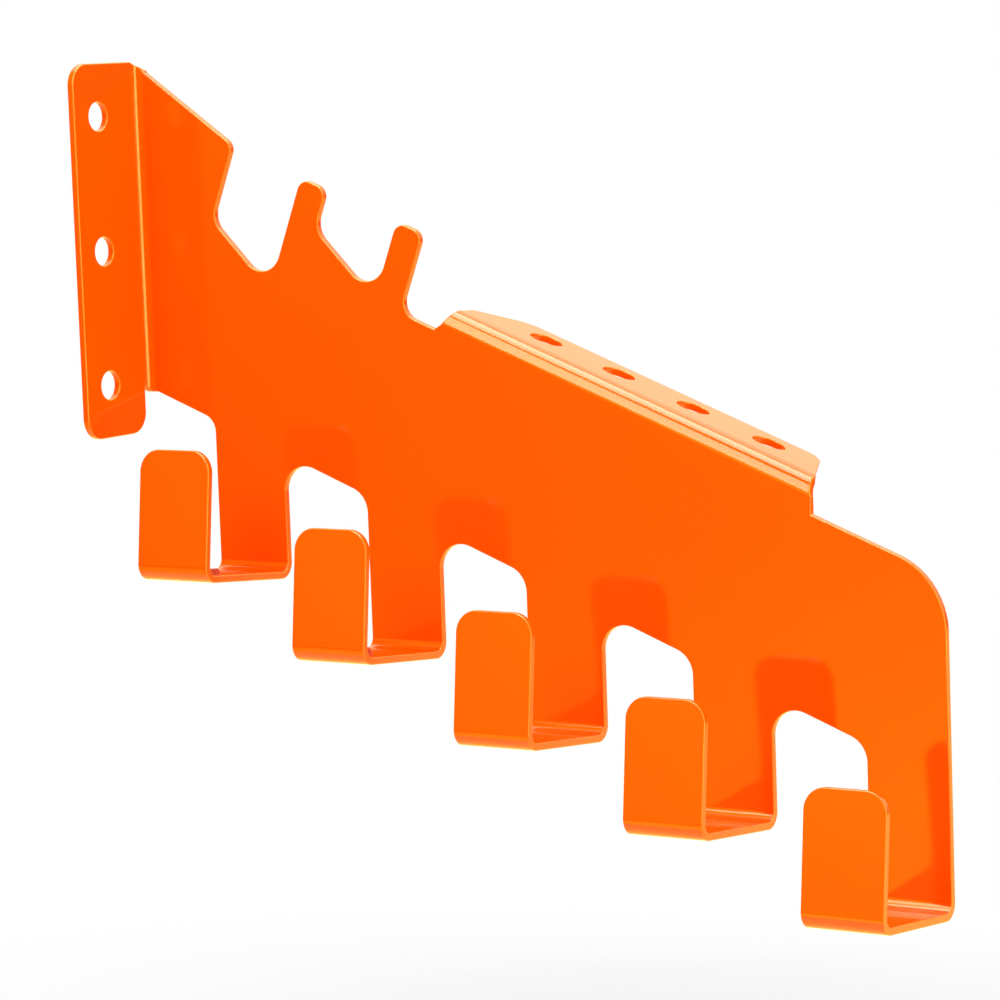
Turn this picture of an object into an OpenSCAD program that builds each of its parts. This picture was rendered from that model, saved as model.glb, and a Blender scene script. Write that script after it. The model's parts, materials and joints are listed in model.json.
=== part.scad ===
// Wall rack for a chainsaw's chains, bars and hand tools.
// One sheet of steel, cut to an outline and folded: a wall flange, a plate with a comb and a row of arches,
// a flange with round holes for tools, and five hooks that step down away from the wall.
// X runs away from the wall, Y from the front to the back, Z up.
// The origin is the centre of the middle screw hole, on the wall.

/* [Sheet] */
// Thickness of the sheet
sheet_t = 2; // [1.5:0.5:3]
// Radius inside every bend
bend_r = 2.5; // [1.5:0.5:4]

/* [Wall flange] */
// Height of the wall flange
flange_h = 103; // [97:1:115]
// Reach of the wall flange in front of the plate
flange_reach = 28.5; // [24:0.5:36]
// Radius of the wall flange's corners
flange_r = 6; // [2:0.5:8]
// Diameter of the screw holes
wall_hole_d = 8; // [4:0.5:9]
// Distance from one screw hole to the next
wall_hole_pitch = 37; // [25:1:40]
// Distance of the screw holes from the flange's front edge
wall_hole_edge = 10.5; // [8:0.5:13]

/* [Hooks] */
// Number of hooks
hook_count = 5; // [4:1:7]
// Distance from one hook to the next, away from the wall
hook_pitch = 50; // [46:1:60]
// Drop from one hook to the next
hook_step = 19.5; // [14:0.5:22]
// Width of a hook
hook_w = 23; // [16:0.5:26]
// Distance of the first hook from the wall
hook_start = 23.7; // [20:0.1:30]
// Length of a hook below the plate's lower edge, on the side toward the wall
hook_drop = 41.5; // [36:0.1:60]
// Distance from the plate to the lip, along the floor inside a hook
hook_reach = 36; // [20:0.1:45]
// Rise of a hook's floor toward the lip, in degrees
floor_rise = 5.8; // [0:0.2:8]
// Height of a hook's lip above its floor
lip_h = 33.2; // [18:0.1:36]
// Lean of a hook's lip toward the plate, in degrees
lip_lean = 6.5; // [0:0.5:10]
// Radius of the lip's corners
lip_r = 6; // [2:0.5:9]

/* [Plate] */
// Distance from the middle screw hole down to the plate's lower edge, on the wall
plate_low = 38.7; // [34:0.1:44]
// Radius of the arches between the hooks
arch_r = 7; // [3:0.5:9]
// Radius of the lower edge's corner at the first hook
inlet_r = 5; // [1:0.5:6]
// Fall of the top edge from the wall, in degrees
top_fall = 35; // [28:0.5:38]
// Radius of the corner at the outer end
end_r = 20.5; // [8:0.5:28]
// Width of the shoulder beyond the tool flange
shoulder_w = 37.2; // [26:0.1:46]
// Depth of the shoulder below the tool flange's bend
shoulder_depth = 4.2; // [2:0.1:6]

/* [Comb] */
// Distance from the middle screw hole to the tips of the comb's tongues, square to the tool flange
comb_top = 37.8; // [34:0.2:42]
// Distance along the comb to the side of its first notch
comb_start = 21.2; // [18:0.2:24]
// Width of a notch
notch_w = 24.2; // [20:0.1:28]
// Width of a tongue
tongue_w = 8.8; // [5:0.1:12]
// Depth of the first notch, on the side toward the wall
notch_1_depth = 21.5; // [18:0.5:25]
// Depth of the second notch, on the side toward the wall
notch_2_depth = 11.5; // [9:0.5:18]
// Fall of the notches' floors, in degrees
notch_fall = 46; // [36:1:50]
// Radius of the notches' corners
notch_r = 6.2; // [3:0.2:7]
// Radius of the tongues' corners
tongue_r = 3.2; // [1:0.2:4]
// Width of the rest between the last tongue and the tool flange
rest_w = 11.7; // [9:0.1:16]
// Depth of the rest below the tool flange's bend
rest_depth = 2; // [1:0.1:4]
// Radius of the rest's corner
rest_r = 5; // [2:0.5:7]

/* [Tool flange] */
// Distance from the middle screw hole to the start of the bend, square to the tool flange
bend_line = 17; // [14:0.2:20]
// Reach of the tool flange behind the plate's front face, were it bent square
tool_reach = 24; // [17:0.5:30]
// How far the tool flange is bent past square, down at the back, in degrees
tool_over = 3.5; // [0:0.5:6]
// Diameter of the tool holes
tool_hole_d = 9; // [5:0.5:10]
// Distance from one tool hole to the next
tool_hole_pitch = 23.8; // [18:0.1:25]
// Distance from the flange's near end to the first tool hole
tool_hole_start = 23.8; // [20:0.1:30]
// Distance of the tool holes from the flange's back edge
tool_hole_edge = 9; // [6:0.1:10]
// Slant of the step up to the flange's near end, and of the cut across its near corner, in degrees
near_slant = 38.7; // [20:0.1:42]
// Length of the flange's near end behind the bend, before the slanting cut
near_side = 6.3; // [2:0.1:8]
// Slant of the flange's far end, in degrees
far_slant = 24; // [10:0.5:30]
// Radius of the flange's back corner at the near end
near_r = 8; // [2:0.5:9]
// Radius of the flange's back corner at the far end
far_r = 7; // [2:0.5:8]

/* [Hidden] */
// Sides of a drawn circle
$fn = 64;
// Colour of the powder coat
coat = "orangered";
// How far a cutting shape runs past what it cuts
overrun = 1;
// How far the circle of a rounding runs past the edges that it touches, so that they cross
crossing = 0.005;
// Outside radius of every bend, and the length of a square bend along the middle of the sheet
fold_r = bend_r + sheet_t;
bend_arc = (bend_r + sheet_t / 2) * PI / 2;
// Widths over which the slanting ends of a bend are trimmed, from shares of its inner and its outer radius
inner_trim_share = 0.9;
outer_trim_share = 1.1;
inner_trim = bend_r * inner_trim_share;
outer_trim = fold_r * outer_trim_share;
// Front and back faces of the plate
plate_front = flange_reach - wall_hole_edge;
plate_back = plate_front + sheet_t;
// Fall of the lower edge and of the tool flange, set by the way that the hooks step down
fall = atan2(hook_step, hook_pitch);
// Outer end of the plate, at the last hook
plate_end = hook_start + (hook_count - 1) * hook_pitch + hook_w;
// Far end of the tool flange, where its bend starts
tab_end = plate_end - shoulder_w;

// A turn between the frame along the tool flange and the frame along the wall:
// along runs down the slope, up stands square to it.
function sloped(along, up) =
    [along * cos(fall) + up * sin(fall), up * cos(fall) - along * sin(fall)];
// Height of the plate's lower edge, and of its top edge, at a distance from the wall
function lower_edge(x) = -plate_low - x * tan(fall);
function top_edge(x) = flange_h / 2 - x * tan(top_fall);
// Place along a sloping line where it meets a distance from the wall
function along_at(x, up) = (x - up * sin(fall)) / cos(fall);
// Left edge of a hook, and the top of its floor at the plate
function hook_x(i) = hook_start + i * hook_pitch;
function floor_z(i) = lower_edge(hook_x(i)) - hook_drop;
// Level at which a hook's strap leaves the plate, below the rounding of its arch
arch_setback = arch_r / tan((90 - fall) / 2);
function strap_top(i) = lower_edge(hook_x(i) + hook_w) - arch_setback;

// Corner of a drawn outline: unit vectors to its neighbours, half its opening, and the centre of its rounding
function unit(v) = v / norm(v);
function half_angle(u, v) = acos(u * v) / 2;
function setback(r, u, v) = r / tan(half_angle(u, v));
function cross_z(u, v) = u[0] * v[1] - u[1] * v[0];

// What lies between a sharp corner and its rounding, run on a little past the corner
module corner_gap(before, at, after, r) {
    u = unit(before - at);
    v = unit(after - at);
    reach = setback(r, u, v);
    tip = -unit(u + v) * r / sin(half_angle(u, v));
    translate(at - tip) difference() {
        polygon([tip - unit(u + v) * overrun, tip + u * reach, [0, 0], tip + v * reach]);
        circle(r + crossing);
    }
}

// Outline with rounded corners, from a list of [point, radius] that runs counterclockwise
module rounded(corners) {
    n = len(corners);
    function point(i) = corners[(i + n) % n][0];
    function outward(i) = cross_z(point(i) - point(i - 1), point(i + 1) - point(i)) > 0;
    difference() {
        union() {
            polygon([for (c = corners) c[0]]);
            for (i = [0 : n - 1])
                if (corners[i][1] > 0 && !outward(i))
                    corner_gap(point(i - 1), point(i), point(i + 1), corners[i][1]);
        }
        for (i = [0 : n - 1])
            if (corners[i][1] > 0 && outward(i))
                corner_gap(point(i - 1), point(i), point(i + 1), corners[i][1]);
    }
}

// Edge view of the folded sheet, from the line of its face inside the bends.
// The sheet's thickness lies to the right of that line.
module folded(path) {
    last = len(path) - 1;
    function heading(i) = unit(path[i + 1] - path[i]);
    function aside(i) = [heading(i)[1], -heading(i)[0]];
    function outside(i) =
        let (a = aside(max(i - 1, 0)), b = aside(min(i, last - 1)))
        path[i] + sheet_t * (a + b) / (1 + a * b);
    function bent(i, r) = i > 0 && i < last ? r : 0;
    rounded([
        for (i = [0 : last]) [outside(i), bent(i, fold_r)],
        for (i = [last : -1 : 0]) [path[i], bent(i, bend_r)]
    ]);
}

// Stands a drawing of X and Z up in the sheet's plane, from a front face and as thick as given
module stand(front, thickness) {
    translate([0, front + thickness, 0]) rotate([90, 0, 0]) linear_extrude(thickness) children();
}

// Side of a notch toward the wall, and so the far side of the tongue before it
function notch_side(k) = comb_start + k * (notch_w + tongue_w);

// Near end of the tool flange, at a height square to the slope
function near_at(up) = notch_side(2) + rest_w + (up - bend_line + rest_depth) * tan(near_slant);

// Corners of one notch: from the tip of the tongue beyond it, down into it and up its side toward the wall
function notch_corners(k, depth) =
    let (side = notch_side(k), beyond = side + notch_w, bottom = comb_top - depth)
    [
        [sloped(beyond, comb_top), tongue_r],
        [sloped(beyond, bottom - notch_w * tan(notch_fall - fall)), notch_r],
        [sloped(side, bottom), notch_r]
    ];

// The comb's upper edge: from the tool flange back over the rest, the tongues and the notches to the top edge
function comb_corners() =
    let (rest = bend_line - rest_depth)
    [
        [sloped(near_at(bend_line), bend_line), 0],
        [sloped(near_at(rest), rest), 0],
        [sloped(notch_side(2), rest), rest_r],
        [sloped(notch_side(2), comb_top), tongue_r],
        each notch_corners(1, notch_2_depth),
        [sloped(notch_side(1), comb_top), tongue_r],
        each notch_corners(0, notch_1_depth),
        [top_corner(), tongue_r]
    ];

// Corner where the top edge meets the side of the first notch
function top_corner() =
    let (lead = sloped(comb_start, 0), drop = flange_h / 2 - lead[0] * tan(top_fall) - lead[1],
         up = drop / (cos(fall) + sin(fall) * tan(top_fall)))
    sloped(comb_start, up);

// Corners of one hook's strap and of the arch beyond it, from the hook toward the next
function strap_corners(i) =
    let (left = hook_x(i), right = left + hook_w)
    [
        [[left, lower_edge(left)], i == 0 ? inlet_r : arch_r],
        [[left, strap_top(i)], 0],
        [[right, strap_top(i)], 0],
        if (i < hook_count - 1) [[right, lower_edge(right)], arch_r]
    ];

module plate() {
    wall_side = fold_r;
    shoulder = bend_line - shoulder_depth;
    color(coat)
    stand(plate_front, sheet_t) rounded([
        [[wall_side, lower_edge(wall_side)], 0],
        for (i = [0 : hook_count - 1]) each strap_corners(i),
        [sloped(along_at(plate_end, shoulder), shoulder), end_r],
        [sloped(along_at(tab_end, shoulder), shoulder), 0],
        [sloped(along_at(tab_end, bend_line), bend_line), 0],
        each comb_corners(),
        [[wall_side, top_edge(wall_side)], 0]
    ]);
}

// The wall flange with its bend: an edge view, trimmed as seen from the side and from the front.
// Where the bend begins and ends, both trims leave its ends square to the sheet.
module wall_flange() {
    half_h = flange_h / 2;
    front = -wall_hole_edge;
    bend_y = plate_front - bend_r;
    low = lower_edge(fold_r);
    high = top_edge(fold_r);
    back = plate_back + overrun;
    side = fold_r + overrun;
    color(coat)
    difference() {
        intersection() {
            translate([0, 0, -flange_h]) linear_extrude(2 * flange_h)
                folded([[fold_r, plate_front], [sheet_t, plate_front], [sheet_t, front - overrun]]);
            translate([-overrun, 0, 0]) rotate([90, 0, 90]) linear_extrude(side + overrun) rounded([
                [[front, -half_h], flange_r], [[bend_y, -half_h], flange_r],
                [[bend_y, low + bend_arc * tan(fall)], 0], [[bend_y + inner_trim, low], 0],
                [[back, low], 0], [[back, high], 0], [[bend_y + outer_trim, high], 0],
                [[bend_y, half_h], 0], [[front, half_h], flange_r]
            ]);
            stand(front - 2 * overrun, flange_reach + 2 * fold_r) polygon([
                [-overrun, -flange_h], [side, -flange_h], [side, high], [fold_r, high],
                [fold_r - inner_trim, half_h], [-overrun, flange_h]
            ]);
        }
        for (k = [-1 : 1])
            translate([-overrun, 0, k * wall_hole_pitch])
                rotate([0, 90, 0]) cylinder(h = sheet_t + 2 * overrun, d = wall_hole_d);
    }
}

// The tool flange with its bend, drawn along the slope from the middle screw hole and turned into place.
// It is an edge view too, trimmed as seen from above and from the front.
module tool_flange() {
    turn = 90 + tool_over;
    near = near_at(bend_line);
    far = along_at(tab_end, bend_line);
    flat_near = near_at(bend_line + bend_r);
    flat_far = far - bend_arc * turn / 90 * tan(far_slant);
    flat_w = tool_reach - fold_r;
    corner_y = fold_r + near_side;
    trim_y = fold_r - inner_trim;
    // Where the two inner faces would meet, and a point past the back edge on the inner face of the flat
    meeting = [sheet_t, bend_r * tan(turn / 2)];
    past = meeting + (tool_reach + overrun) * [cos(tool_over), -sin(tool_over)];
    color(coat)
    rotate([0, fall, 0]) translate([0, plate_front, bend_line]) difference() {
        intersection() {
            rotate([90, 0, 90]) linear_extrude(plate_end)
                folded([past, meeting, [sheet_t, 0]]);
            past_square() translate([0, 0, -fold_r]) linear_extrude(2 * fold_r + overrun) rounded([
                [[near, -overrun], 0], [[far, -overrun], 0], [[far, trim_y], 0], [[flat_far, fold_r], 0],
                [[flat_far - flat_w * tan(far_slant), tool_reach], far_r],
                [[flat_near + (flat_w - near_side) * tan(near_slant), tool_reach], near_r],
                [[flat_near, corner_y], 0], [[flat_near, fold_r], 0], [[near, trim_y], 0]
            ]);
            stand(-overrun, tool_reach + fold_r + overrun) polygon([
                [near, -overrun], [far, -overrun], [far, 0],
                [flat_far, outer_trim], [flat_near, outer_trim], [near, 0]
            ]);
        }
        for (along = [near + tool_hole_start : tool_hole_pitch : far - 2 * tool_hole_d])
            past_square() translate([along, tool_reach - tool_hole_edge, bend_r - overrun])
                cylinder(h = sheet_t + 2 * overrun, d = tool_hole_d);
    }
}

// Turns what lies on the tool flange about the axis of its bend, from square to where the flange ends up
module past_square() {
    translate([0, fold_r, 0]) rotate([-tool_over, 0, 0]) translate([0, -fold_r, 0]) children();
}

// One hook: the lower part of its strap, its floor and its lip, in one fold, with the lip's corners rounded.
// It is drawn from where its floor meets the plate's front face.
module hook(i) {
    strap_h = strap_top(i) - floor_z(i);
    rise = hook_reach * tan(floor_rise);
    tip_y = lip_h * tan(lip_lean) - hook_reach;
    tip_z = lip_h + rise;
    color(coat)
    translate([hook_x(i), plate_front, floor_z(i)]) difference() {
        rotate([90, 0, 90]) linear_extrude(hook_w)
            folded([[tip_y, tip_z], [-hook_reach, rise], [0, 0], [0, strap_h]]);
        translate([0, tip_y, tip_z]) rotate([-lip_lean, 0, 0])
            stand(-sheet_t - overrun, sheet_t + 2 * overrun) {
                corner_gap([0, -lip_h], [0, 0], [hook_w, 0], lip_r);
                corner_gap([0, 0], [hook_w, 0], [hook_w, -lip_h], lip_r);
            }
    }
}

plate();
wall_flange();
tool_flange();
for (i = [0 : hook_count - 1])
    hook(i);
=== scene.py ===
# %% [markdown]
# # A chainsaw storage rack, folded from one powder-coated sheet
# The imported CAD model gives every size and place, so it is loaded first and stays as it is. On the real rack
# the sheet is cut, folded and then coated, which leaves two things that the plain solids lack: a small round
# on every cut edge, and the gloss and faint waviness of the coat. Both could be faked in the material alone,
# but a round that is real geometry also shows in the outline and in the exported meshes, so it is modelled.

# %% Load the frame
import json
import math

import bmesh
import bpy
from mathutils import Matrix, Vector
from mathutils.bvhtree import BVHTree

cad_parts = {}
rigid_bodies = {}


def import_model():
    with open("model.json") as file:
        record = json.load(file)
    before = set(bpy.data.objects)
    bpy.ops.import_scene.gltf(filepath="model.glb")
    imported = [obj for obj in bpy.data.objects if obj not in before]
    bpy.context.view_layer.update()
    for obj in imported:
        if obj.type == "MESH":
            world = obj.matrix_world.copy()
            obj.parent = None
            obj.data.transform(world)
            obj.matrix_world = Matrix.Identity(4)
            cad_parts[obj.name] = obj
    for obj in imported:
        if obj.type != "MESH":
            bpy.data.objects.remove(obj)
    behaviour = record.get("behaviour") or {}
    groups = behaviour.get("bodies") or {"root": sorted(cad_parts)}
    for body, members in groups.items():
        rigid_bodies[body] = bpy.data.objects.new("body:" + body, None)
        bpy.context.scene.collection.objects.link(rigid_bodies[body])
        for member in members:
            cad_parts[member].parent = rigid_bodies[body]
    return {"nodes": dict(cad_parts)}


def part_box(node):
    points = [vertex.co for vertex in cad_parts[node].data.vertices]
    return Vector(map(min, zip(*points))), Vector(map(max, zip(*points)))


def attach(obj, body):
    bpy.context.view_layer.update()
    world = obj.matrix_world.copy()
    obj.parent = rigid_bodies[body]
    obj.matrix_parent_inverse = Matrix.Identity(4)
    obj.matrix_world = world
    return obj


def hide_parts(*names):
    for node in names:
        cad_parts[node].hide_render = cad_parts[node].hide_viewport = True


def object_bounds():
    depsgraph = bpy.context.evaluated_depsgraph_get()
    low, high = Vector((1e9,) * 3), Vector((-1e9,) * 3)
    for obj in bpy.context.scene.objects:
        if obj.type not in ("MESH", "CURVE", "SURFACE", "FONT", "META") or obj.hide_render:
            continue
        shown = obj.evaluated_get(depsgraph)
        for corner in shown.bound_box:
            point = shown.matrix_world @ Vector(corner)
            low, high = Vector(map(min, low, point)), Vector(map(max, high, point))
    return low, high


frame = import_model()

cad_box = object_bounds()
MM = 0.001
print("CAD box, mm:", [round(v / MM, 1) for corner in cad_box for v in corner])

# %% [markdown]
# The camera stands to the right of the rack and a little above it, far away, with a long lens. Its place was
# worked out from the straight edges and round holes of the photograph. A camera can be aimed with a Track To
# constraint, but its slight roll is easier to give as a matrix made of three directions.

# %% Camera
EYE = Vector((677.4, -862.4, 56.7)) * MM
YAW, PITCH, ROLL = 0.5672, 0.1182, -0.036
FOCAL_SHARE = 3.9582  # focal length, as a share of the picture's width


def aim(eye, yaw, pitch, roll):
    """World matrix of a camera, from where it stands and how it is turned."""
    ahead = Vector((-math.sin(yaw) * math.cos(pitch), math.cos(yaw) * math.cos(pitch), -math.sin(pitch)))
    level = Vector((math.cos(yaw), math.sin(yaw), 0))
    above = level.cross(ahead)
    right = math.cos(roll) * level + math.sin(roll) * above
    upright = math.cos(roll) * above - math.sin(roll) * level
    return Matrix.Translation(eye) @ Matrix((right, upright, -ahead)).transposed().to_4x4()


scene = bpy.context.scene
camera_data = bpy.data.cameras.new("camera")
camera_data.sensor_width = 36
camera_data.lens = camera_data.sensor_width * FOCAL_SHARE
camera = bpy.data.objects.new("camera", camera_data)
camera.matrix_world = aim(EYE, YAW, PITCH, ROLL)
scene.collection.objects.link(camera)
scene.camera = camera
print("lens, mm:", round(camera_data.lens, 1))

# %% [markdown]
# The light was found from what the gloss shows. Along the bend of the tool flange the coat turns from the
# front to the sky, and it mirrors a pale band, a thin dark line and a brighter band. So a strip softbox
# leans over the rack from the front, a large one hangs overhead, and the gap between them draws the dark
# line. The strip stays above the height that the plate mirrors, because the plate shows nothing pale. A tall
# amber lamp at the right lights the wall flange and draws the thin line in its fold. Area lamps give such
# soft edges by themselves.

# %% Softboxes
scene.view_settings.view_transform = "Standard"
rack_middle = (cad_box[0] + cad_box[1]) / 2


def softbox(name, low, high, width, radiance, colour):
    """An oblong area lamp that faces the rack, from the middle of one short side to that of the other."""
    low, high = Vector(low), Vector(high)
    along = (high - low).normalized()
    away = (low + high) / 2 - rack_middle
    away = (away - along * away.dot(along)).normalized()
    lamp = bpy.data.lights.new(name, "AREA")
    lamp.shape = "RECTANGLE"
    lamp.size, lamp.size_y = width, (high - low).length
    lamp.energy = radiance * math.pi * lamp.size * lamp.size_y
    lamp.color = colour
    box = bpy.data.objects.new(name, lamp)
    axes = Matrix((along.cross(away), along, away)).transposed().to_4x4()
    box.matrix_world = Matrix.Translation((low + high) / 2) @ axes
    scene.collection.objects.link(box)
    print(name, "watts:", round(lamp.energy, 1))


softbox("front strip", (-0.06, -0.455, 0.1), (0.11, -0.28, 0.415), 0.25, 9.0, (1.0, 0.9, 0.58))
softbox("overhead", (0.09, -0.31, 0.9), (0.09, 0.36, 0.9), 0.8, 10.0, (1.0, 0.9, 0.64))
softbox("right lamp", (1.2, -0.2, -0.55), (1.2, -0.2, 0.6), 0.6, 11.0, (1.0, 0.85, 0.2))

# %% [markdown]
# The world and the materials are made of the same few nodes again and again, so each kind gets a short
# helper. Where a number or another node's output may be given, one helper sets or links it, whichever it is.

# %% Node helpers
def feed(entry, value):
    """Sets an input to a value, or links it if the value is another node's output."""
    if isinstance(value, bpy.types.NodeSocket):
        entry.id_data.links.new(value, entry)
    else:
        entry.default_value = value


def ranged(tree, value, low, high, at_low, at_high):
    """Maps a value from one range to another, and holds it at the ends."""
    mapped = tree.nodes.new("ShaderNodeMapRange")
    for title, level in (("Value", value), ("From Min", low), ("From Max", high),
                         ("To Min", at_low), ("To Max", at_high)):
        feed(mapped.inputs[title], level)
    return mapped.outputs["Result"]


def summed(tree, first, second):
    """Adds two values."""
    total = tree.nodes.new("ShaderNodeMath")
    total.operation = "ADD"
    feed(total.inputs[0], first)
    feed(total.inputs[1], second)
    return total.outputs[0]


def mixed(tree, factor, first, second):
    """Mixes two shaders: the first where the factor is 0, the second where it is 1."""
    mix = tree.nodes.new("ShaderNodeMixShader")
    for entry, value in zip(mix.inputs, (factor, first.outputs[0], second.outputs[0])):
        feed(entry, value)
    return mix


def glow(tree, colour, strength):
    """Even light of one colour, for a world."""
    light = tree.nodes.new("ShaderNodeBackground")
    feed(light.inputs["Color"], (*colour, 1))
    feed(light.inputs["Strength"], strength)
    return light


# %% [markdown]
# A gloss coat shows what it mirrors. In front of the rack that is a dim amber room, which brightens along
# the directions that the plate mirrors from its wall end to its outer end. It is brighter above the horizon,
# which the lips mirror because they lean back, and toward the ground, which the lowest straps and the bends
# of the hooks mirror. A picture of a real room could stand here, but ranges of the direction's three parts
# say as much in a few numbers.

# %% The room in front
AMBER = (1.0, 0.85, 0.03)
PLATE_SIGHT = (-0.62, -0.4)  # X of the directions that the plate mirrors, from its wall end to its outer end
ROOM_END = (-0.3, -0.05)  # X of the directions over which the room falls dark
HORIZON = (-0.06, 0.05)  # Z of the directions over which the light above the horizon comes in
GROUND = (-0.35, -0.13)  # Z of the directions over which the light near the ground fades out

world = bpy.data.worlds.new("studio")
world.use_nodes = True
scene.world = world
sky = world.node_tree
sky.nodes.clear()
direction = sky.nodes.new("ShaderNodeSeparateXYZ")
feed(direction.inputs[0], sky.nodes.new("ShaderNodeTexCoord").outputs["Generated"])
toward_x, toward_y, toward_z = direction.outputs

lip_light = ranged(sky, toward_x, *PLATE_SIGHT, 0.65, 2.0)
strap_light = ranged(sky, toward_x, *PLATE_SIGHT, 1.9, 4.0)
above_horizon = ranged(sky, toward_z, *HORIZON, 0.0, lip_light)
near_ground = ranged(sky, toward_z, *GROUND, strap_light, 0.0)
plate_light = ranged(sky, toward_x, *PLATE_SIGHT, 0.25, 2.0)
room_light = summed(sky, plate_light, summed(sky, above_horizon, near_ground))
front_room = glow(sky, AMBER, ranged(sky, toward_x, *ROOM_END, room_light, 0.2))
print("nodes for the room in front:", len(sky.nodes))

# %% [markdown]
# Behind the rack hangs a warm pale backdrop, brighter overhead, which the top of the tool flange mirrors.
# The camera sees plain white instead, at a strength of 1, and all other light from the world is faint. The
# Light Path node tells these apart. The white isn't given to the gloss as well, because the rack has no bare
# metal or glass, and a coat that mirrored white all round would look milky.

# %% World
WARM = (1.0, 0.9, 0.55)
WHITE = (1.0, 1.0, 1.0)
BACKDROP_FOOT = (0.02, 0.2)  # Z of the directions over which the backdrop comes up
BACKDROP_TOP = (0.35, 0.65)  # Z of the directions over which it grows brighter overhead
TO_FRONT = (0.0, -0.2)  # Y of the directions from which the room in front takes over
overhead_light = ranged(sky, toward_z, *BACKDROP_TOP, 1.75, 3.2)
backdrop = glow(sky, WARM, ranged(sky, toward_z, *BACKDROP_FOOT, 0.05, overhead_light))
in_front = ranged(sky, toward_y, *TO_FRONT, 0.0, 1.0)
studio = mixed(sky, in_front, backdrop, front_room)
sky_ray = sky.nodes.new("ShaderNodeLightPath").outputs
lit = mixed(sky, sky_ray["Is Glossy Ray"], glow(sky, WHITE, 0.1), studio)
sky_seen = mixed(sky, sky_ray["Is Camera Ray"], lit, glow(sky, WHITE, 1.0))
feed(sky.nodes.new("ShaderNodeOutputWorld").inputs["Surface"], sky_seen.outputs[0])
print("nodes in the world:", len(sky.nodes))

# %% [markdown]
# A sheet of white paper lies a little below the rack. To the camera it is as white as the world, and an
# Ambient Occlusion node darkens it near the rack, a faint painted shadow that needs no more light. The gloss
# sees the paper glow warm though it is no lamp, a painted reflection that gives the bends under the hooks
# their pale line. It ends just in front of the rack, so that the plate mirrors the room and not the paper.

# %% Floor
FLOOR_Z = cad_box[0].z - 60 * MM
FRONT, BACK, SIDE = -0.13, 1.0, 1.5
SHADOW_REACH = 0.25
floor_mesh = bpy.data.meshes.new("floor")
floor_corners = [(x, y, FLOOR_Z) for x, y in ((-SIDE, FRONT), (SIDE, FRONT), (SIDE, BACK), (-SIDE, BACK))]
floor_mesh.from_pydata(floor_corners, [], [(0, 1, 2, 3)])
floor = bpy.data.objects.new("floor", floor_mesh)
scene.collection.objects.link(floor)

paper = bpy.data.materials.new("white paper")
paper.use_nodes = True
sheet = paper.node_tree
matt = sheet.nodes["Principled BSDF"]
matt.inputs["Base Color"].default_value = (0.86, 0.86, 0.86, 1)
matt.inputs["Roughness"].default_value = 0.9
shadow = sheet.nodes.new("ShaderNodeAmbientOcclusion")
shadow.inputs["Distance"].default_value = SHADOW_REACH
# The camera's white is darkened by ambient occlusion near the rack: a painted shadow.
white_with_painted_shadow, painted_warm_glow = sheet.nodes.new("ShaderNodeEmission"), sheet.nodes.new("ShaderNodeEmission")
feed(white_with_painted_shadow.inputs["Color"], shadow.outputs["Color"])
# The gloss sees the paper glow warm: a painted reflection in the bends under the hooks.
painted_warm_glow.inputs["Color"].default_value = (1.0, 0.9, 0.22, 1)
painted_warm_glow.inputs["Strength"].default_value = 2.4
paper_ray = sheet.nodes.new("ShaderNodeLightPath").outputs
unseen = mixed(sheet, paper_ray["Is Glossy Ray"], matt, painted_warm_glow)
paper_seen = mixed(sheet, paper_ray["Is Camera Ray"], unseen, white_with_painted_shadow)
feed(sheet.nodes["Material Output"].inputs["Surface"], paper_seen.outputs[0])
floor_mesh.materials.append(paper)
print("floor at, mm:", round(FLOOR_Z / MM, 1))

# %% [markdown]
# The coat is an orange gloss powder. Sprayed as powder and melted, it keeps a faint waviness called orange
# peel, a few microns deep and two or three millimetres across, and its gloss and its tint vary a little. A
# group holds that, so that the sheet's faces and its cut edges can share it with their own values. It could
# be displaced geometry, but at this depth only the reflections show it, and a bump is enough.

# %% Orange peel group
def new_group(name, inputs, outputs):
    """An empty shader group with named inputs (name: value) and named outputs (name: socket type)."""
    tree = bpy.data.node_groups.new(name, "ShaderNodeTree")
    for title, value in inputs.items():
        kind = "NodeSocketColor" if isinstance(value, tuple) else "NodeSocketFloat"
        tree.interface.new_socket(title, in_out="INPUT", socket_type=kind).default_value = value
    for title, kind in outputs.items():
        tree.interface.new_socket(title, in_out="OUTPUT", socket_type=kind)
    return tree, tree.nodes.new("NodeGroupInput").outputs, tree.nodes.new("NodeGroupOutput").inputs


def noise(tree, place, scale, detail):
    """A noise texture at a place, from 0 to 1."""
    texture = tree.nodes.new("ShaderNodeTexNoise")
    feed(texture.inputs["Vector"], place)
    feed(texture.inputs["Scale"], scale)
    feed(texture.inputs["Detail"], detail)
    return texture.outputs["Fac"]


def blended(tree, factor, first, second):
    """Mixes two colours: the first where the factor is 0, the second where it is 1."""
    mix = tree.nodes.new("ShaderNodeMix")
    mix.data_type = "RGBA"
    colour_entries = [entry for entry in mix.inputs if entry.type == "RGBA"]
    feed(mix.inputs["Factor"], factor)
    for entry, colour in zip(colour_entries, (first, second)):
        feed(entry, colour)
    return next(output for output in mix.outputs if output.type == "RGBA")


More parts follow.
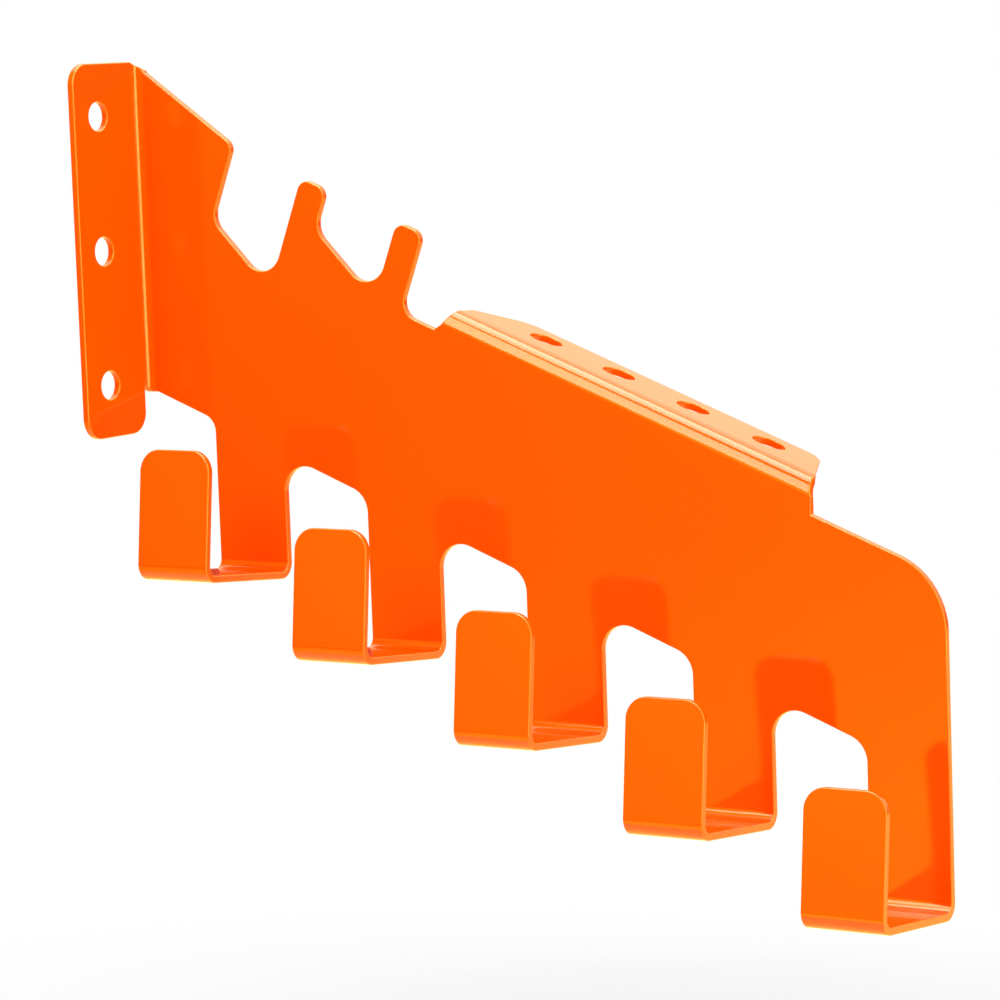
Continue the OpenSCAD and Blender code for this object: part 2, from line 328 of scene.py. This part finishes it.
ORANGE = (1.0, 0.068, 0.0, 1.0)
DEEP_ORANGE = (0.98, 0.063, 0.0, 1.0)
PATCHES_PER_METRE = 28
NOISE_MIDDLE = (0.25, 0.75)  # nearly all of a noise lies between these
peel, peel_in, peel_out = new_group(
    "orange peel",
    {"Waves per metre": 420.0, "Depth in metres": 4e-6, "Smooth": 0.07, "Dull": 0.12,
     "Colour": ORANGE, "Deep colour": DEEP_ORANGE},
    {"Colour": "NodeSocketColor", "Roughness": "NodeSocketFloat", "Normal": "NodeSocketVector"})
place = peel.nodes.new("ShaderNodeTexCoord").outputs["Object"]
waves = peel.nodes.new("ShaderNodeBump")
feed(waves.inputs["Strength"], 1.0)
feed(waves.inputs["Distance"], peel_in["Depth in metres"])
feed(waves.inputs["Height"], noise(peel, place, peel_in["Waves per metre"], 1.5))
patches = noise(peel, place, PATCHES_PER_METRE, 3)
feed(peel_out["Colour"], blended(peel, patches, peel_in["Colour"], peel_in["Deep colour"]))
feed(peel_out["Roughness"], ranged(peel, patches, *NOISE_MIDDLE, peel_in["Smooth"], peel_in["Dull"]))
feed(peel_out["Normal"], waves.outputs["Normal"])
print("inputs of the orange peel:", ", ".join(entry.name for entry in peel_in if entry.name))

# %% [markdown]
# Molten powder draws back from a sharp edge, so the coat is thinnest on the rounds of the cut edges and
# looks a little paler there. The paler colour is partly that thinner coat and partly a painted highlight:
# it stands in for the pale line that light draws along every rounded edge. The rounds carry an attribute
# that is 1 in the middle of a round and 0 on the flat faces, and a second group turns it into that paler
# colour. The Geometry node's Pointiness finds rounds too, but it depends on how finely a mesh is divided,
# and the attribute says exactly where the rounds are.

# %% Thin coat and painted highlight group
# Pale orange for the rounds: a thinner coat and a painted highlight along the cut edges.
PALE_ORANGE = (1.0, 0.18, 0.02, 1.0)
thin_and_highlight, thin_and_highlight_in, thin_and_highlight_out = new_group(
    "thin coat", {"Colour": ORANGE, "Thin coat and highlight colour": PALE_ORANGE, "Amount": 0.6}, {"Colour": "NodeSocketColor"})
thin_and_highlight_mask = thin_and_highlight.nodes.new("ShaderNodeAttribute")
thin_and_highlight_mask.attribute_name = "thin_coat"
share = thin_and_highlight.nodes.new("ShaderNodeMath")
share.operation = "MULTIPLY"
feed(share.inputs[0], thin_and_highlight_mask.outputs["Fac"])
feed(share.inputs[1], thin_and_highlight_in["Amount"])
feed(thin_and_highlight_out["Colour"], blended(thin_and_highlight, share.outputs[0], thin_and_highlight_in["Colour"], thin_and_highlight_in["Thin coat and highlight colour"]))
print("inputs of the thin coat:", ", ".join(entry.name for entry in thin_and_highlight_in if entry.name))

# %% [markdown]
# The faces of the sheet and its cut edges get the same powder, but it lies over a smooth rolled skin on the
# faces and over the rougher marks of the cutter on the edges. So there are two materials from the same two
# groups, and the edges have finer, deeper waves and less gloss. One material with a mask would hide that
# difference in nodes.

# %% Coat materials
def coat(name, **values):
    """An orange powder coat, from the two groups, with its own values for the orange peel."""
    material = bpy.data.materials.new(name)
    material.use_nodes = True
    tree = material.node_tree
    look = tree.nodes["Principled BSDF"]
    surface, edges = tree.nodes.new("ShaderNodeGroup"), tree.nodes.new("ShaderNodeGroup")
    surface.node_tree, edges.node_tree = peel, thin_and_highlight
    for title, value in values.items():
        surface.inputs[title.replace("_", " ").capitalize()].default_value = value
    # The second group makes the rounds paler: a thinner coat and a painted highlight.
    feed(edges.inputs["Colour"], surface.outputs["Colour"])
    feed(look.inputs["Base Color"], edges.outputs["Colour"])
    feed(look.inputs["Roughness"], surface.outputs["Roughness"])
    feed(look.inputs["Normal"], surface.outputs["Normal"])
    look.inputs["IOR"].default_value = 1.5
    print("material:", name)
    return material


face_coat = coat("powder coat on the faces")
edge_coat = coat("powder coat on the cut edges",
                 waves_per_metre=900.0, depth_in_metres=6e-6, smooth=0.16, dull=0.24)

# %% [markdown]
# The folded regions meet where a press brake starts each bend. The edges there are inside the real sheet, so
# they stay sharp and only the others are rounded. The planes in which the regions meet follow from the
# packed boxes: one at the plate's left end, one square to the slope on which the hooks step down, and one on
# top of each hook.

# %% Planes between the regions
HOOKS = sorted(name for name in frame["nodes"] if name.startswith("hook_"))
first_corner, second_corner = (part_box(name)[0] for name in HOOKS[:2])
stride = second_corner - first_corner
up_slope = Vector((-stride.z, 0, stride.x)).normalized()
tool_line = min(vertex.co.dot(up_slope) for vertex in frame["nodes"]["tool_flange"].data.vertices)
tool_joint = (up_slope, tool_line)
wall_joint = (Vector((1, 0, 0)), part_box("plate")[0].x)
plate_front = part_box("plate")[0].y
hook_joints = []
for name in HOOKS:
    strap = [vertex.co.z for vertex in frame["nodes"][name].data.vertices if vertex.co.y > plate_front]
    hook_joints.append((Vector((0, 0, 1)), max(strap)))
print("hooks step by, mm:", [round(v / MM, 2) for v in stride])
print("tool flange starts at, mm:", round(tool_line / MM, 2))

# %% [markdown]
# Each region starts as a copy of its CAD mesh. The loose triangles are welded, and flat ones are joined into
# whole faces, so that a bevel can run round the outline cleanly. A face is a face of the sheet if the far
# side of the steel lies one thickness behind it, and a cut face if not, which a ray through the steel tells.

# %% Faces of the sheet and cut faces
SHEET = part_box("plate")[1].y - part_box("plate")[0].y
NEAR = 0.02 * MM  # closer than this is the same place
ALIKE = 0.05  # how far a measured thickness may be from the sheet's, as a share of it
SQUARE_ON = 0.999  # cosine between two directions that are taken as one
FACE_SLOT, EDGE_SLOT = 0, 1


def in_joint(face, joints):
    """True if a face lies in one of the planes between the regions."""
    middle = face.calc_center_median()
    return any(abs(face.normal.dot(axis)) > SQUARE_ON and abs(middle.dot(axis) - at) < NEAR
               for axis, at in joints)


def steel_behind(tree, face):
    """How much steel lies behind a face."""
    inside = face.calc_center_median() - face.normal * NEAR
    place, _, _, distance = tree.ray_cast(inside, -face.normal)
    return distance + NEAR if place is not None else 0


print("sheet, mm:", round(SHEET / MM, 2))

# %% [markdown]
# A cutter leaves an edge square, and tumbling or brushing before the coat takes the corner off. The Bevel
# modifier could do that too, but the bmesh bevel lets the script pick the edges and mark the new faces, so
# that the coat can be thin there.

# %% Rounded cut edges
ROUND = 0.35 * MM
ROUND_STEPS = 4
SHARP = math.radians(30)
FLAT = math.radians(0.5)


def rounded_region(node, joints):
    """Mesh of a region with its cut edges rounded. Cut faces and rounds get the second material slot."""
    region = bmesh.new()
    region.from_mesh(frame["nodes"][node].data)
    bmesh.ops.remove_doubles(region, verts=region.verts, dist=NEAR / 10)
    steel = BVHTree.FromBMesh(region)
    for face in region.faces:
        is_face = abs(steel_behind(steel, face) - SHEET) < SHEET * ALIKE
        face.material_index = FACE_SLOT if is_face or in_joint(face, joints) else EDGE_SLOT
    bmesh.ops.dissolve_limit(region, angle_limit=FLAT, verts=region.verts, edges=region.edges,
                             delimit={"MATERIAL"})
    hidden = {edge for face in region.faces if in_joint(face, joints) for edge in face.edges}
    sharp = [edge for edge in region.edges if edge not in hidden and edge.calc_face_angle(0) > SHARP]
    bevel = bmesh.ops.bevel(region, geom=sharp, offset=ROUND, offset_type="OFFSET", segments=ROUND_STEPS,
                            profile=0.5, affect="EDGES", clamp_overlap=False)
    rounds = set(bevel["faces"])
    # The mask of the rounds, which get the paler colour: a thinner coat and a painted edge highlight.
    thin_and_highlight_layer = region.verts.layers.float.new("thin_coat")
    for face in region.faces:
        face.smooth = True
        if face in rounds:
            face.material_index = EDGE_SLOT
    for vertex in region.verts:
        vertex[thin_and_highlight_layer] = float(all(face in rounds for face in vertex.link_faces))
    for edge in region.edges:
        edge.smooth = edge.calc_face_angle(0) < SHARP
    mesh = bpy.data.meshes.new(node)
    region.to_mesh(mesh)
    region.free()
    print(node, "has", len(rounds), "faces on its rounds")
    return mesh


# %% [markdown]
# Smooth shading would bend the look of the flat faces near every round. Normals weighted by face area keep
# them flat, which is what the Weighted Normal modifier does. Where a bend meets the plate, the last facet of
# the bend doesn't know of the plate, so its normals there are laid flat one by one and the fold shows no line.

# %% Normals
ACROSS = 0.9  # cosine above which a face looks along the joint's axis, so it isn't a face of the bend


def baked(piece):
    """Replaces a piece's mesh by its evaluated one, and takes its modifiers off."""
    depsgraph = bpy.context.evaluated_depsgraph_get()
    mesh = bpy.data.meshes.new_from_object(piece.evaluated_get(depsgraph), depsgraph=depsgraph)
    piece.modifiers.clear()
    piece.data = mesh


def weigh_normals(piece, joints):
    """Gives a piece normals that keep its flats flat and run on smoothly over the joints."""
    weigh = piece.modifiers.new("flat faces", "WEIGHTED_NORMAL")
    weigh.keep_sharp = True
    weigh.weight = 100
    baked(piece)
    mesh = piece.data
    normals = [corner.vector.copy() for corner in mesh.corner_normals]
    for face in mesh.polygons:
        for axis, at in joints:
            if abs(face.normal.dot(axis)) > ACROSS:
                continue
            for corner in face.loop_indices:
                if abs(mesh.vertices[mesh.loops[corner].vertex_index].co.dot(axis) - at) < NEAR:
                    normals[corner] -= axis * normals[corner].dot(axis)
                    normals[corner].normalize()
    mesh.normals_split_custom_set(normals)


# %% [markdown]
# The plate is the flat web that carries all the rest. The wall flange is folded to the front at the wall,
# and the tool flange to the back along the slope. Their outlines are cut with the plate's, so each is a
# rounded copy of its own region and needs nothing new. The plate is flat at its joints, so only the bends'
# normals are laid flat.

# %% Plate and flanges
def new_piece(name, mesh):
    """An object in the scene for a mesh."""
    piece = bpy.data.objects.new(name, mesh)
    scene.collection.objects.link(piece)
    return piece


def hand_over(piece, nodes):
    """Tells the frame what a piece stands for and moves with."""
    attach(piece, "root")
    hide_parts(*nodes)
    print(piece.name, "stands for", ", ".join(nodes), "with", len(piece.data.polygons), "faces")


REGIONS = (("plate", [wall_joint, tool_joint, *hook_joints], []),
           ("wall_flange", [wall_joint], [wall_joint]),
           ("tool_flange", [tool_joint], [tool_joint]))
for node, joints, bend_starts in REGIONS:
    mesh = rounded_region(node, joints)
    mesh.materials.append(face_coat)
    mesh.materials.append(edge_coat)
    piece = new_piece("coated_" + node, mesh)
    weigh_normals(piece, bend_starts)
    hand_over(piece, [node])

# %% [markdown]
# The hooks are one shape, cut and folded five times, each a step further down. Geometry Nodes copy it along
# a line of points. The step, the count and the coats are inputs of the tree, so a longer rack needs no new
# mesh. Duplicated objects would do as well, but the tree keeps the rule in one place.

# %% Hook row tree
def hook_row_tree():
    """A tree that repeats a hook along a line of equal steps and gives it its two coats."""
    tree = bpy.data.node_groups.new("hook row", "GeometryNodeTree")
    tree.is_modifier = True
    for title, kind in (("Hook", "NodeSocketGeometry"), ("Count", "NodeSocketInt"),
                        ("Step", "NodeSocketVector"),
                        ("Face coat", "NodeSocketMaterial"), ("Edge coat", "NodeSocketMaterial")):
        tree.interface.new_socket(title, in_out="INPUT", socket_type=kind)
    tree.interface.new_socket("Hooks", in_out="OUTPUT", socket_type="NodeSocketGeometry")
    given = tree.nodes.new("NodeGroupInput").outputs
    line = tree.nodes.new("GeometryNodeMeshLine")
    feed(line.inputs["Count"], given["Count"])
    feed(line.inputs["Offset"], given["Step"])
    copies = tree.nodes.new("GeometryNodeInstanceOnPoints")
    feed(copies.inputs["Points"], line.outputs["Mesh"])
    feed(copies.inputs["Instance"], given["Hook"])
    real = tree.nodes.new("GeometryNodeRealizeInstances")
    feed(real.inputs["Geometry"], copies.outputs["Instances"])
    cut = tree.nodes.new("GeometryNodeInputNamedAttribute")
    cut.data_type = "BOOLEAN"
    cut.inputs["Name"].default_value = "cut_edge"
    faces, edges = (tree.nodes.new("GeometryNodeSetMaterial") for _ in range(2))
    feed(faces.inputs["Geometry"], real.outputs["Geometry"])
    feed(faces.inputs["Material"], given["Face coat"])
    feed(edges.inputs["Geometry"], faces.outputs["Geometry"])
    feed(edges.inputs["Selection"], cut.outputs["Attribute"])
    feed(edges.inputs["Material"], given["Edge coat"])
    feed(tree.nodes.new("NodeGroupOutput").inputs["Hooks"], edges.outputs["Geometry"])
    print("nodes in the hook row:", len(tree.nodes))
    return tree


def set_inputs(modifier, **values):
    """Sets a modifier's inputs by the identifiers of their sockets."""
    for item in modifier.node_group.interface.items_tree:
        key = item.name.replace(" ", "_")
        if item.in_out == "INPUT" and key in values:
            modifier[item.identifier] = values[key]


# %% [markdown]
# Each hook holds a looped chain: a strap comes down from the plate, a floor runs to the front, and a lip
# leans back a little so that nothing slips off. The first hook's region is rounded like the others, its cut
# faces are marked for the tree, and the row is then turned into one plain mesh.

# %% Hook row
hook_mesh = rounded_region(HOOKS[0], hook_joints[:1])
cut_edge = hook_mesh.attributes.new("cut_edge", "BOOLEAN", "FACE")
cut_edge.data.foreach_set("value", [face.material_index == EDGE_SLOT for face in hook_mesh.polygons])
hooks = new_piece("coated_hooks", hook_mesh)
row = hooks.modifiers.new("hook row", "NODES")
row.node_group = hook_row_tree()
set_inputs(row, Count=len(HOOKS), Step=stride, Face_coat=face_coat, Edge_coat=edge_coat)
baked(hooks)
weigh_normals(hooks, [])
hand_over(hooks, HOOKS)

# %% [markdown]
# The looks must not change the size. The box of the CAD model is printed at the start, and each piece's
# own box is printed here to compare with its node.

# %% Sizes
for piece in [p for p in scene.objects if p.name.startswith("coated_")]:
    corners = [Vector(corner) for corner in piece.bound_box]
    print(piece.name, "mm:", [round(f(c[k] for c in corners) / MM, 2) for f in (min, max) for k in range(3)])
